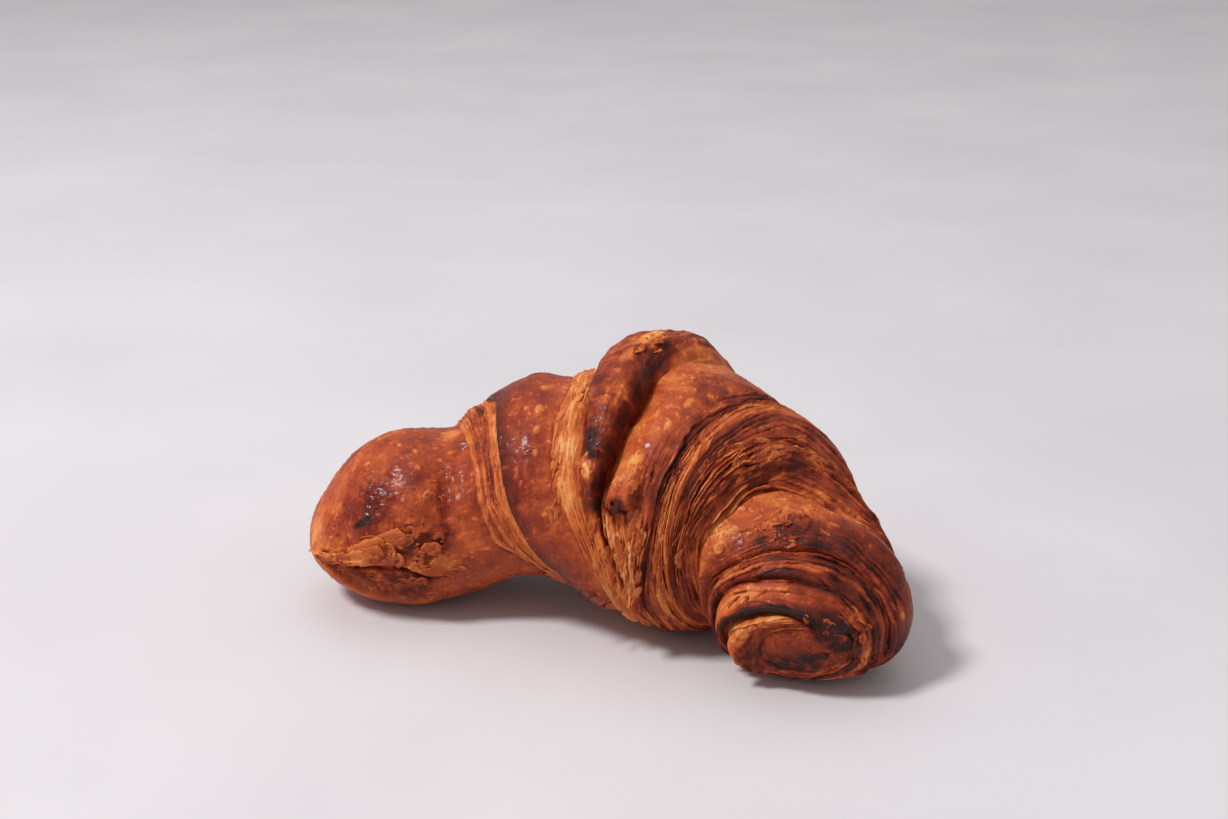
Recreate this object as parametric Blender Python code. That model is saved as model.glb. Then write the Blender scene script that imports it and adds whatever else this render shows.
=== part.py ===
"""A butter croissant, baked dark, lying on its flat underside.

The roll is one solid. A bent spine runs from the left tip to the right tip, and a
rounded section travels along it. Thirteen wraps of dough lie side by side on the roll.
Each seam between two wraps winds round it, and the dough steps up or down there. The
tongue, the tip of the rolled triangle, is a high ridge that comes over the top.

Lengths are in millimetres and angles in degrees until the mesh is made, in metres.
An angle round the roll is 0 on top, 90 on the hollow front side, -90 on the back.
"""
import math

import bmesh
import bpy
import numpy as np

MM = 0.001
OBJECT_NAME = "croissant"

# The spine: how far each tip lies along it from the middle, and where the middle is.
LEFT_TIP = -91.0
RIGHT_TIP = 80.5
MIDDLE = (4.1, 1.06)
SPINE_STEPS = 800
SPINE_REACH = 100.0
# Distance along the spine, and the way it points there, counted from +X.
BEND = ((-93, 46), (-60, 30), (0, 0), (22, -10), (45, -35.5), (82, -73))

# The plain roll: distance along the spine, half width, height of its top and its belly.
# A belly below the table is pressed flat on it.
STATIONS = (
    (-92, 20.0, 35.0, 2.0),
    (-75, 22.5, 43.0, -1.0),
    (-62, 25.0, 45.8, -1.2),
    (-54, 25.5, 46.0, 0.5),
    (-45, 27.0, 50.5, 2.8),
    (-30, 30.0, 58.5, 7.2),
    (-15, 33.0, 61.5, 7.6),
    (0, 35.0, 63.0, 2.6),
    (12, 35.5, 64.0, -1.2),
    (25, 34.5, 61.5, 0.0),
    (38, 31.0, 56.5, 5.5),
    (46, 27.5, 48.5, 6.0),
    (56, 26.0, 41.5, -0.8),
    (68, 24.3, 39.0, -1.2),
    (82, 22.0, 36.0, 1.0),
)
SIDE_POWER = 2.1
UNDER_POWER = 2.25
BELLY_SHARE = 0.46
# Where each rounded tip starts along the spine, and how high its end is.
LEFT_CAP = (-62.0, 16.0)
RIGHT_CAP = (56.0, 14.5)
CAP_POWER = 2.3

# The seams: how far along the spine each one lies at these angles round the roll.
SEAM_ANGLES = (-180, -120, -60, -25, 0, 45, 75, 100, 130)
SEAMS = {
    "left_foot": (-38, -57, -54, -51, -49.5, -45.5, -42.5, -36, -21),
    "left_lip": (-28, -49, -46, -42, -39, -35.5, -31.5, -23, -9),
    "left_crack": (-14, -33, -28, -21, -19, -19, -14.5, -2, 6),
    "tongue_left": (-6, -18, -11, -9, -11.5, -7, -2, 6, 12.5),
    "tongue_right": (4, 12, 17, 14, 7.6, 2.4, 1.8, 10.0, 16),
    "right_crack": (24, 22, 29, 27.5, 27.5, 24, 22.5, 19.5, 20.5),
    "right_rib": (36, 36, 36, 32, 30.5, 28.5, 28.5, 31, 32),
    "right_fold": (45, 50, 50, 43, 40, 38, 37, 36, 38),
    "right_foot": (56, 62, 62, 57, 50, 47.5, 45, 47.5, 49),
    "turn_one": (64, 73.5, 74, 72, 69, 60.5, 52, 51, 53.5),
    "turn_two": (71, 77, 77.5, 76.5, 75, 68.5, 58.5, 55, 58),
    "turn_three": (76, 79.5, 79.8, 79.8, 79.6, 77.5, 70.5, 61, 63),
}

# The wraps from the left tip to the right tip: columns of the mesh across each, and how
# far its dough stands off the plain roll at its left edge, its middle and its right edge.
WRAPS = {
    "left_end": (15, (0.0, 0.6, -1.0)),
    "left_face": (4, (-1.4, 0.4, 0.6)),
    "left_skin": (6, (1.6, 1.6, -0.8)),
    "left_torn": (4, (0.4, 0.9, 0.4)),
    "tongue": (7, (0.0, 0.0, 0.0)),
    "bulge": (7, (-0.8, 1.6, 0.4)),
    "right_rib": (4, (0.3, 0.8, 1.2)),
    "right_face": (4, (0.8, 0.4, -0.8)),
    "right_slope": (5, (0.8, 0.2, -2.0)),
    "right_skin": (7, (-1.6, 1.6, 0.8)),
    "turn_one": (4, (-1.0, 0.2, 0.8)),
    "turn_two": (4, (-1.0, 0.2, 0.8)),
    "right_end": (6, (-1.2, 0.0, 0.0)),
}
FIRST_WRAP, LAST_WRAP = "left_end", "right_end"
# Height of the tongue's ridge above the wraps beside it, at angles round the roll.
TONGUE_RIDGE = ((-180, 0), (-110, 1.5), (-60, 6.5), (-25, 12), (0, 10.2), (45, 6.0),
                (66, 4), (80, 0), (180, 0))
# How much of that height the tongue has from its left edge to its right one: in front
# it is a rope of dough, across the top and the back a dune that the bulge rises to.
TONGUE_ROPE = ((0, 0.4), (0.35, 0.8), (0.65, 1.0), (1, 0.8))
TONGUE_DUNE = ((0, 0.1), (0.2, 0.8), (0.42, 0.97), (0.66, 1.0), (0.82, 0.86), (1, 0.36))
DUNE_FROM, DUNE_FULL = 26.0, -14.0
BULGE_RISE = 0.8
BULGE_RISE_REACH = 5.0
BULGE_RISE_END, BULGE_RISE_FULL = -135.0, -70.0
# The bulge's lower lip, a loose tip of dough: where it starts, its brink and its end.
LIP_START, LIP_BRINK, LIP_END = 25.0, 63.0, 69.0
LIP_HEIGHT = 3.0

SEAM_WALL = 0.35          # half the run of the wall at a seam
FULL_RELIEF_WIDTH = 7.0   # a wrap narrower than this is flatter
RELIEF_ABOVE = 6.0        # the relief dies away below this height
TIP_CROWDING = 1.8        # how the columns close up towards the two tips
ROWS = 54                 # points round the roll
SHARP_ANGLE = 50.0

CRUST_COLOUR = (0.33, 0.105, 0.028, 1.0)
CRUST_ROUGHNESS = 0.45


def clear_scene():
    for old in list(bpy.data.objects):
        bpy.data.objects.remove(old, do_unlink=True)


def hermite(x, knots, values, slopes):
    """The cubic curve through the knots with the given slopes."""
    i = np.clip(np.searchsorted(knots, x) - 1, 0, len(knots) - 2)
    gap = knots[i + 1] - knots[i]
    t = (x - knots[i]) / gap
    return ((1 + 2 * t) * (1 - t) ** 2 * values[i]
            + t * (1 - t) ** 2 * gap * slopes[i]
            + t * t * (3 - 2 * t) * values[i + 1]
            + t * t * (t - 1) * gap * slopes[i + 1])


def flowing(knots, values, x):
    """A curve through the values that never swings past them."""
    knots = np.array(knots, float)
    values = np.array(values, float)
    rise = np.diff(values) / np.diff(knots)
    slopes = np.zeros_like(values)
    slopes[0], slopes[-1] = rise[0], rise[-1]
    before, after = rise[:-1], rise[1:]
    same = before * after > 0
    slopes[1:-1][same] = 2 * (before * after)[same] / (before + after)[same]
    return hermite(x, knots, values, slopes)


def seam_place(name, angle):
    """Distance along the spine of a seam at an angle round the roll, in degrees."""
    angles = np.array(SEAM_ANGLES, float)
    places = np.array(SEAMS[name], float)
    knots = np.concatenate((angles[-2:] - 360, angles, angles[:2] + 360))
    values = np.concatenate((places[-2:], places, places[:2]))
    gap = np.diff(knots)
    rise = np.diff(values) / gap
    slopes = np.zeros_like(values)
    slopes[1:-1] = (rise[:-1] * gap[1:] + rise[1:] * gap[:-1]) / (gap[1:] + gap[:-1])
    return hermite(angle, knots, values, slopes)


def spine(along):
    """Plan position of the spine and its heading in radians."""
    run = np.linspace(-SPINE_REACH, SPINE_REACH, SPINE_STEPS + 1)
    places, headings = zip(*BEND)
    heading = np.radians(flowing(places, headings, np.clip(run, places[0], places[-1])))
    x = np.cumsum(np.cos(heading)) * (run[1] - run[0])
    y = np.cumsum(np.sin(heading)) * (run[1] - run[0])
    middle = SPINE_STEPS // 2
    return (np.interp(along, run, x - x[middle]) + MIDDLE[0],
            np.interp(along, run, y - y[middle]) + MIDDLE[1],
            np.interp(along, run, heading))


def plain_roll(along, angle):
    """Points on the plain roll, before any wrap stands off it."""
    places, widths, tops, bellies = zip(*STATIONS)
    left = np.clip((LEFT_CAP[0] - along) / (LEFT_CAP[0] - LEFT_TIP), 0, 1)
    right = np.clip((along - RIGHT_CAP[0]) / (RIGHT_TIP - RIGHT_CAP[0]), 0, 1)
    cap = np.sqrt(np.clip(1 - (left + right) ** CAP_POWER, 0, 1))
    tip_height = np.where(along < 0, LEFT_CAP[1], RIGHT_CAP[1])
    width = flowing(places, widths, along) * cap
    top = tip_height + (flowing(places, tops, along) - tip_height) * cap
    belly = tip_height + (flowing(places, bellies, along) - tip_height) * cap
    waist = belly + BELLY_SHARE * (top - belly)
    x, y, heading = spine(along)
    across, up = np.sin(np.radians(angle)), np.cos(np.radians(angle))
    side = width * np.sign(across) * np.abs(across) ** (2 / SIDE_POWER)
    over = (top - waist) * up
    under = -(waist - belly) * np.abs(up) ** (2 / UNDER_POWER)
    z = waist + np.where(up > 0, over, under)
    return np.stack([x + np.sin(heading) * side, y - np.cos(heading) * side, z], -1)


def wrap_edges(name, angle):
    """Where a wrap starts and ends along the spine, just inside its two seams."""
    seams = list(SEAMS)
    number = list(WRAPS).index(name)
    start = np.full_like(angle, LEFT_TIP)
    end = np.full_like(angle, RIGHT_TIP)
    if name != FIRST_WRAP:
        start = seam_place(seams[number - 1], angle) + SEAM_WALL
    if name != LAST_WRAP:
        end = seam_place(seams[number], angle) - SEAM_WALL
    return start, end


def ease(low, high, x):
    """0 below low, 1 above high, smooth between."""
    t = np.clip((x - low) / (high - low), 0, 1)
    return t * t * (3 - 2 * t)


def profile(pairs, x):
    places, values = zip(*pairs)
    return flowing(places, values, x)


def tongue_height(share, angle):
    rope, dune = profile(TONGUE_ROPE, share), profile(TONGUE_DUNE, share)
    back = ease(DUNE_FROM, DUNE_FULL, angle)
    return profile(TONGUE_RIDGE, angle) * (rope + back * (dune - rope))


def bulge_rise(from_left, angle):
    """How far the bulge rises to meet the foot of the tongue's dune."""
    foot = BULGE_RISE + TONGUE_DUNE[-1][1] * profile(TONGUE_RIDGE, angle)
    run = ease(DUNE_FROM, DUNE_FULL, angle) * ease(BULGE_RISE_END, BULGE_RISE_FULL, angle)
    return foot * run * np.exp(-from_left / BULGE_RISE_REACH)


def lip_height(share, angle):
    rise = np.clip((angle - LIP_START) / (LIP_BRINK - LIP_START), 0, 1) ** 2
    fall = np.clip((LIP_END - angle) / (LIP_END - LIP_BRINK), 0, 1)
    return LIP_HEIGHT * rise * fall * np.sin(np.pi * share)


def wrap_column(name, share, angle):
    """One line of points round the roll, at a share of the way across a wrap."""
    start, end = wrap_edges(name, angle)
    if name == FIRST_WRAP:
        along = start + (end - start) * share ** TIP_CROWDING
    elif name == LAST_WRAP:
        along = end - (end - start) * (1 - share) ** TIP_CROWDING
    else:
        along = start + (end - start) * share
    stand_off = np.interp(share, (0.0, 0.5, 1.0), WRAPS[name][1])
    height = stand_off * np.clip((end - start) / FULL_RELIEF_WIDTH, 0, 1)
    if name == "tongue":
        height = height + tongue_height(share, angle)
    if name == "bulge":
        height = height + lip_height(share, angle) + bulge_rise(along - start, angle)
    return along, height


def column_shares(name):
    """The shares of a wrap's width at which its columns lie, without the two tips."""
    shares = np.linspace(0, 1, WRAPS[name][0])
    if name == FIRST_WRAP:
        return shares[1:]
    if name == LAST_WRAP:
        return shares[:-1]
    return shares


def crust_points():
    """Rings of points from tip to tip; a ring is a closed line round the roll."""
    angle = np.linspace(-180, 180, ROWS, endpoint=False)
    columns = [wrap_column(name, share, angle) for name in WRAPS for share in column_shares(name)]
    along = np.array([column[0] for column in columns])
    height = np.array([column[1] for column in columns])
    points = plain_roll(along, angle[None, :])
    down_roll = np.gradient(points, axis=0)
    round_roll = np.roll(points, -1, axis=1) - np.roll(points, 1, axis=1)
    outward = np.cross(round_roll, down_roll)
    outward /= np.linalg.norm(outward, axis=-1, keepdims=True)
    height = height * np.clip(points[..., 2] / RELIEF_ABOVE, 0, 1)
    points = points + outward * height[..., None]
    points[..., 2] = np.maximum(points[..., 2], 0.0)
    return points


def tip_point(place, cap):
    x, y, heading = spine(place)
    return (float(x), float(y), cap[1])


def crust_mesh():
    """A closed skin: rings joined into bands, and a fan of triangles at each tip."""
    points = crust_points()
    bm = bmesh.new()
    rings = [[bm.verts.new(MM * point) for point in ring] for ring in points]
    left_tip = bm.verts.new([MM * c for c in tip_point(LEFT_TIP, LEFT_CAP)])
    right_tip = bm.verts.new([MM * c for c in tip_point(RIGHT_TIP, RIGHT_CAP)])
    for ring, following in zip(rings[:-1], rings[1:]):
        for i in range(ROWS):
            j = (i + 1) % ROWS
            bm.faces.new((ring[i], ring[j], following[j], following[i]))
    for i in range(ROWS):
        j = (i + 1) % ROWS
        bm.faces.new((left_tip, rings[0][j], rings[0][i]))
        bm.faces.new((right_tip, rings[-1][i], rings[-1][j]))
    bmesh.ops.recalc_face_normals(bm, faces=bm.faces)
    bmesh.ops.triangulate(bm, faces=bm.faces)
    mesh = bpy.data.meshes.new(OBJECT_NAME)
    bm.to_mesh(mesh)
    bm.free()
    mesh.shade_smooth()
    mesh.set_sharp_from_angle(angle=math.radians(SHARP_ANGLE))
    return mesh


def crust_material():
    material = bpy.data.materials.new("browned_crust")
    material.use_nodes = True
    shader = material.node_tree.nodes["Principled BSDF"]
    shader.inputs["Base Color"].default_value = CRUST_COLOUR
    shader.inputs["Roughness"].default_value = CRUST_ROUGHNESS
    return material


def main():
    clear_scene()
    collection = bpy.data.collections.new(OBJECT_NAME)
    bpy.context.scene.collection.children.link(collection)
    croissant = bpy.data.objects.new(OBJECT_NAME, crust_mesh())
    croissant.data.materials.append(crust_material())
    collection.objects.link(croissant)


main()
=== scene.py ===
"""The looks of a dark-baked butter croissant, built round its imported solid.

The crust is laid out again from the same spine, stations and seams as the solid, finely
enough to carry the layers of dough, the torn skin, the blisters and the flakes. Seven
crust pieces lie edge over edge on the roll: the left lobe, the wraps beside it, the
tongue across the top, the bulge under its tip, the right wraps, the right lobe and its
tip. Loose flakes and threads of dough lie on them, in a piece of their own.

Lengths are in millimetres and angles in degrees until a mesh is made, in metres.
An angle round the roll is 0 on top, 90 on the hollow front side, -90 on the back.
"""
import math
import random

import bpy
import numpy as np
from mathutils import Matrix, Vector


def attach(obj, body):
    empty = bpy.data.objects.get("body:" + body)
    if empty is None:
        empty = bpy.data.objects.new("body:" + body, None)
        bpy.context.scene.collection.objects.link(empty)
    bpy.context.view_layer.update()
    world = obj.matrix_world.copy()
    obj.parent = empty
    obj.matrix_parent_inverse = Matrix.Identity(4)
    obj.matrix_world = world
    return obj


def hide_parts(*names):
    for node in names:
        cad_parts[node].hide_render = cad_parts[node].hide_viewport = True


MM = 0.001
NODE = "croissant"

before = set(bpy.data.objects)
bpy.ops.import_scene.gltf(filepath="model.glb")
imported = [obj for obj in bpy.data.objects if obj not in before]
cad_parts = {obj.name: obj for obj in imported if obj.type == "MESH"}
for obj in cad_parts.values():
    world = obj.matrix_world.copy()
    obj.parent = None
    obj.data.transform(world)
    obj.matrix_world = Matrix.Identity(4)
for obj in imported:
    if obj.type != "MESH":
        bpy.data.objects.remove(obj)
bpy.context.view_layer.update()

# ---------------------------------------------------------------- the roll's form

LEFT_TIP = -91.0
RIGHT_TIP = 80.5
MIDDLE = (4.1, 1.06)
SPINE_STEPS = 800
SPINE_REACH = 100.0
BEND = ((-93, 46), (-60, 30), (0, 0), (22, -10), (45, -35.5), (82, -73))

# Distance along the spine, half width, height of the top and of the belly.
STATIONS = (
    (-92, 20.0, 35.0, 2.0),
    (-75, 22.5, 43.0, -1.0),
    (-62, 25.0, 45.8, -1.2),
    (-54, 25.5, 46.0, 0.5),
    (-45, 27.0, 50.5, 2.8),
    (-30, 30.0, 58.5, 7.2),
    (-15, 33.0, 61.5, 7.6),
    (0, 35.0, 63.0, 2.6),
    (12, 35.5, 64.0, -1.2),
    (25, 34.5, 61.5, 0.0),
    (38, 31.0, 56.5, 5.5),
    (46, 27.5, 48.5, 6.0),
    (56, 26.0, 41.5, -0.8),
    (68, 24.3, 39.0, -1.2),
    (82, 22.0, 36.0, 1.0),
)
SIDE_POWER = 2.1
UNDER_POWER = 2.25
BELLY_SHARE = 0.46
LEFT_CAP = (-62.0, 16.0)
RIGHT_CAP = (56.0, 14.5)
CAP_POWER = 2.3

SEAM_ANGLES = (-180, -120, -60, -25, 0, 45, 75, 100, 130)
SEAMS = {
    "left_foot": (-38, -57, -54, -51, -49.5, -45.5, -42.5, -36, -21),
    "left_lip": (-28, -49, -46, -42, -39, -35.5, -31.5, -23, -9),
    "left_crack": (-14, -33, -28, -21, -19, -19, -14.5, -2, 6),
    "tongue_left": (-6, -18, -11, -9, -11.5, -7, -2, 6, 12.5),
    "tongue_right": (4, 12, 17, 14, 7.6, 2.4, 1.8, 10.0, 16),
    "right_crack": (24, 22, 29, 27.5, 27.5, 24, 22.5, 19.5, 20.5),
    "right_rib": (36, 36, 36, 32, 30.5, 28.5, 28.5, 31, 32),
    "right_fold": (45, 50, 50, 43, 40, 38, 37, 36, 38),
    "right_foot": (56, 62, 62, 57, 50, 47.5, 45, 47.5, 49),
    "turn_one": (64, 73.5, 74, 72, 69, 60.5, 52, 51, 53.5),
    "turn_two": (71, 77, 77.5, 76.5, 75, 68.5, 58.5, 55, 58),
    "turn_three": (76, 79.5, 79.8, 79.8, 79.6, 77.5, 70.5, 61, 63),
}
# Height of the tongue's ridge over the wraps beside it, at angles round the roll.
TONGUE_RIDGE = ((-180, 0.4), (-110, 1.8), (-60, 6.5), (-25, 12), (0, 10.2), (45, 6.0),
                (66, 4), (78, 0.5), (180, 0.4))

ROLL_RADIUS = 28.0        # turns an angle round the roll into a length
RELIEF_ABOVE = 6.0        # the relief dies away below this height
FULL_RELIEF_WIDTH = 7.0   # a wrap narrower than this is flatter
TABLE_GAP = 0.02
TIP_GAP = 0.02            # how near the tips the dough still leans
SLOPE_STEP = 0.6          # run along, in mm, over which a slope is measured
SLOPE_TURN = 1.5          # and turn round the roll, in degrees


def hermite(x, knots, values, slopes):
    """The cubic curve through the knots with the given slopes."""
    i = np.clip(np.searchsorted(knots, x) - 1, 0, len(knots) - 2)
    gap = knots[i + 1] - knots[i]
    t = (x - knots[i]) / gap
    return ((1 + 2 * t) * (1 - t) ** 2 * values[i]
            + t * (1 - t) ** 2 * gap * slopes[i]
            + t * t * (3 - 2 * t) * values[i + 1]
            + t * t * (t - 1) * gap * slopes[i + 1])


def flowing(knots, values, x):
    """A curve through the values that never swings past them."""
    knots = np.array(knots, float)
    values = np.array(values, float)
    rise = np.diff(values) / np.diff(knots)
    slopes = np.zeros_like(values)
    slopes[0], slopes[-1] = rise[0], rise[-1]
    before, after = rise[:-1], rise[1:]
    same = before * after > 0
    slopes[1:-1][same] = 2 * (before * after)[same] / (before + after)[same]
    return hermite(x, knots, values, slopes)


def profile(pairs, x):
    """A flowing curve given as (place, value) pairs."""
    places, values = zip(*pairs)
    return flowing(places, values, np.clip(x, places[0], places[-1]))


def ease(low, high, x):
    """0 below low, 1 above high, smooth between."""
    t = np.clip((x - low) / (high - low), 0, 1)
    return t * t * (3 - 2 * t)


def seam_place(name, angle):
    """Distance along the spine of a seam at an angle round the roll."""
    angles = np.array(SEAM_ANGLES, float)
    places = np.array(SEAMS[name], float)
    knots = np.concatenate((angles[-2:] - 360, angles, angles[:2] + 360))
    values = np.concatenate((places[-2:], places, places[:2]))
    gap = np.diff(knots)
    rise = np.diff(values) / gap
    slopes = np.zeros_like(values)
    slopes[1:-1] = (rise[:-1] * gap[1:] + rise[1:] * gap[:-1]) / (gap[1:] + gap[:-1])
    return hermite(angle, knots, values, slopes)


def spine(along):
    """Plan position of the spine and its heading in radians."""
    run = np.linspace(-SPINE_REACH, SPINE_REACH, SPINE_STEPS + 1)
    places, headings = zip(*BEND)
    heading = np.radians(flowing(places, headings, np.clip(run, places[0], places[-1])))
    x = np.cumsum(np.cos(heading)) * (run[1] - run[0])
    y = np.cumsum(np.sin(heading)) * (run[1] - run[0])
    middle = SPINE_STEPS // 2
    return (np.interp(along, run, x - x[middle]) + MIDDLE[0],
            np.interp(along, run, y - y[middle]) + MIDDLE[1],
            np.interp(along, run, heading))


def plain_roll(along, angle):
    """Points on the plain roll, before any dough stands off it."""
    places, widths, tops, bellies = zip(*STATIONS)
    left = np.clip((LEFT_CAP[0] - along) / (LEFT_CAP[0] - LEFT_TIP), 0, 1)
    right = np.clip((along - RIGHT_CAP[0]) / (RIGHT_TIP - RIGHT_CAP[0]), 0, 1)
    cap = np.sqrt(np.clip(1 - (left + right) ** CAP_POWER, 0, 1))
    tip_height = np.where(along < 0, LEFT_CAP[1], RIGHT_CAP[1])
    width = flowing(places, widths, along) * cap
    top = tip_height + (flowing(places, tops, along) - tip_height) * cap
    belly = tip_height + (flowing(places, bellies, along) - tip_height) * cap
    waist = belly + BELLY_SHARE * (top - belly)
    x, y, heading = spine(along)
    across, up = np.sin(np.radians(angle)), np.cos(np.radians(angle))
    side = width * np.sign(across) * np.abs(across) ** (2 / SIDE_POWER)
    over = (top - waist) * up
    under = -(waist - belly) * np.abs(up) ** (2 / UNDER_POWER)
    z = waist + np.where(up > 0, over, under)
    return np.stack([x + np.sin(heading) * side, y - np.cos(heading) * side, z], -1)


# ---------------------------------------------------------------- unevenness

def scramble(x, y, z, seed):
    n = (x * np.uint32(73856093)) ^ (y * np.uint32(19349663)) ^ (z * np.uint32(83492791))
    n = n ^ np.uint32((seed * 2654435761) & 0xFFFFFFFF)
    n = (n ^ (n >> np.uint32(15))) * np.uint32(2246822519)
    n = (n ^ (n >> np.uint32(13))) * np.uint32(3266489917)
    return n ^ (n >> np.uint32(16))


def lumps(points, seed):
    """Smooth random swells of about one unit, from -1 to 1."""
    cell = np.floor(points)
    part = points - cell
    fade = part ** 3 * (part * (part * 6 - 15) + 10)
    corner = cell.astype(np.int64).astype(np.uint32)
    total = np.zeros(points.shape[:-1])
    for dx in (0, 1):
        for dy in (0, 1):
            for dz in (0, 1):
                n = scramble(corner[..., 0] + np.uint32(dx), corner[..., 1] + np.uint32(dy),
                             corner[..., 2] + np.uint32(dz), seed)
                slope = [((n >> np.uint32(shift)) & np.uint32(1023)) / 511.5 - 1
                         for shift in (0, 10, 20)]
                lift = (slope[0] * (part[..., 0] - dx) + slope[1] * (part[..., 1] - dy)
                        + slope[2] * (part[..., 2] - dz))
                share = np.where(dx, fade[..., 0], 1 - fade[..., 0])
                share = share * np.where(dy, fade[..., 1], 1 - fade[..., 1])
                share = share * np.where(dz, fade[..., 2], 1 - fade[..., 2])
                total += share * lift
    return total * 1.3


def clouds(points, size, seed, octaves=3):
    """Lumps of the given size with ever finer ones on them."""
    total = np.zeros(points.shape[:-1])
    for k in range(octaves):
        total += lumps(points * (2 ** k / size) + 17.3 * k, seed + k) * 0.55 ** k
    return total


def round_roll(across, angle, stretch):
    """Places for unevenness drawn out round the roll, the same after a full turn."""
    turn = np.radians(angle)
    reach = ROLL_RADIUS / stretch
    across, turn = np.broadcast_arrays(across, turn)
    return np.stack([across, reach * np.cos(turn), reach * np.sin(turn)], -1)


# ---------------------------------------------------------------- the wraps of dough

# For each wrap, from the left tip to the right one: columns of its mesh; how far it
# stands off the plain roll across its width; the layers that show, how deep they are
# cut and how torn they are; how browned it is across its width, from 0 pale to 1
# burnt; and its gloss.
WRAPS = {
    "left_end": dict(columns=120, stand=((0, 0.0), (0.5, 0.6), (1, -1.0)),
                     layers=0, cut=0.0, tear=0.0, gloss=0.55,
                     bake=((0, 0.34), (0.12, 0.44), (0.5, 0.52), (0.85, 0.52), (1, 0.6))),
    "left_face": dict(columns=56, stand=((0, -1.4), (0.5, 0.4), (1, 0.6)),
                      layers=9, cut=0.36, tear=0.35, gloss=0.3,
                      bake=((0, 0.36), (0.12, 0.3), (0.27, 0.54), (0.4, 0.4), (0.55, 0.56),
                            (0.7, 0.42), (0.86, 0.26), (1, 0.4))),
    "left_skin": dict(columns=50, stand=((0, 1.6), (0.5, 1.6), (1, -0.8)),
                      layers=0, cut=0.0, tear=0.0, gloss=0.6,
                      bake=((0, 0.8), (0.12, 0.74), (0.3, 0.62), (0.6, 0.58), (0.9, 0.48),
                            (1, 0.42))),
    "left_torn": dict(columns=48, stand=((0, 0.4), (0.5, 0.9), (1, 0.4)),
                      layers=7, cut=0.3, tear=0.7, gloss=0.3,
                      bake=((0, 0.5), (0.12, 0.36), (0.5, 0.27), (0.8, 0.3), (1, 0.46))),
    "tongue": dict(columns=110, stand=((0, 0), (1, 0)),
                   layers=7, cut=0.32, tear=0.6, gloss=0.4,
                   bake=((0, 0.66), (0.2, 0.6), (0.5, 0.56), (0.7, 0.64), (0.85, 0.86),
                         (1, 0.5))),
    "bulge": dict(columns=84, stand=((0, -0.8), (0.2, 0.6), (0.5, 1.6), (0.8, 1.4), (1, 0.4)),
                  layers=9, cut=0.45, tear=1.0, gloss=0.5,
                  bake=((0, 0.36), (0.25, 0.38), (0.5, 0.46), (0.8, 0.56), (1, 0.7))),
    "right_rib": dict(columns=36, stand=((0, 0.3), (0.5, 0.8), (1, 1.2)),
                      layers=4, cut=0.45, tear=0.8, gloss=0.4,
                      bake=((0, 0.74), (0.25, 0.54), (0.6, 0.46), (0.85, 0.38), (1, 0.5))),
    "right_face": dict(columns=56, stand=((0, 1.0), (0.3, 0.8), (0.5, 0.2), (1, -0.8)),
                       layers=7, cut=0.4, tear=0.4, gloss=0.5,
                       bake=((0, 0.4), (0.1, 0.27), (0.2, 0.4), (0.32, 0.56), (0.5, 0.63),
                             (0.75, 0.6), (1, 0.56))),
    "right_slope": dict(columns=68, stand=((0, 0.8), (0.5, 0.2), (1, -2.0)),
                        layers=7, cut=0.5, tear=0.8, gloss=0.35,
                        bake=((0, 0.46), (0.3, 0.6), (0.55, 0.64), (0.8, 0.5), (1, 0.42))),
    "right_skin": dict(columns=80, stand=((0, -1.4), (0.5, 1.6), (1, 0.8)),
                       layers=15, cut=0.3, tear=0.4, gloss=0.4,
                       bake=((0, 0.4), (0.2, 0.43), (0.5, 0.52), (0.75, 0.64), (0.9, 0.6),
                             (1, 0.42))),
    "turn_one": dict(columns=52, stand=((0, -1.0), (0.5, 0.3), (1, 0.9)),
                     layers=4, cut=0.45, tear=0.3, gloss=0.45,
                     bake=((0, 0.3), (0.14, 0.36), (0.26, 0.62), (0.5, 0.66), (0.62, 0.36),
                           (0.72, 0.4), (0.84, 0.66), (1, 0.6))),
    "turn_two": dict(columns=52, stand=((0, -1.0), (0.5, 0.3), (1, 0.9)),
                     layers=3, cut=0.35, tear=0.25, gloss=0.4,
                     bake=((0, 0.6), (0.16, 0.62), (0.3, 0.34), (0.5, 0.26), (0.66, 0.34),
                           (0.8, 0.6), (1, 0.6))),
    "right_end": dict(columns=80, stand=((0, -0.8), (0.2, 0.2), (1, 0)),
                      layers=5, cut=0.35, tear=0.3, gloss=0.3,
                      bake=((0, 0.4), (0.15, 0.36), (0.5, 0.46), (0.8, 0.6), (1, 0.66))),
}
FIRST_WRAP, LAST_WRAP = "left_end", "right_end"

# The crust pieces, each a run of wraps.
PIECES = {
    "crust_left_lobe": ("left_end",),
    "crust_left_wraps": ("left_face", "left_skin", "left_torn"),
    "crust_tongue": ("tongue",),
    "crust_bulge": ("bulge", "right_rib"),
    "crust_right_wraps": ("right_face", "right_slope"),
    "crust_right_lobe": ("right_skin", "turn_one"),
    "crust_right_tip": ("turn_two", "right_end"),
}
# At each seam, the side whose dough lies over the other's edge.
OVER = {
    "left_foot": "right", "left_lip": "right", "left_crack": "left",
    "tongue_left": "right", "tongue_right": "left", "right_crack": "right",
    "right_rib": "right", "right_fold": "left", "right_foot": "left",
    "turn_one": "left", "turn_two": "left", "turn_three": "left",
}

# How deep the step at a seam is, where it is not full.
SEAM_DEPTH = {"right_crack": 0.35, "left_lip": 0.6, "right_rib": 0.8}

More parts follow.
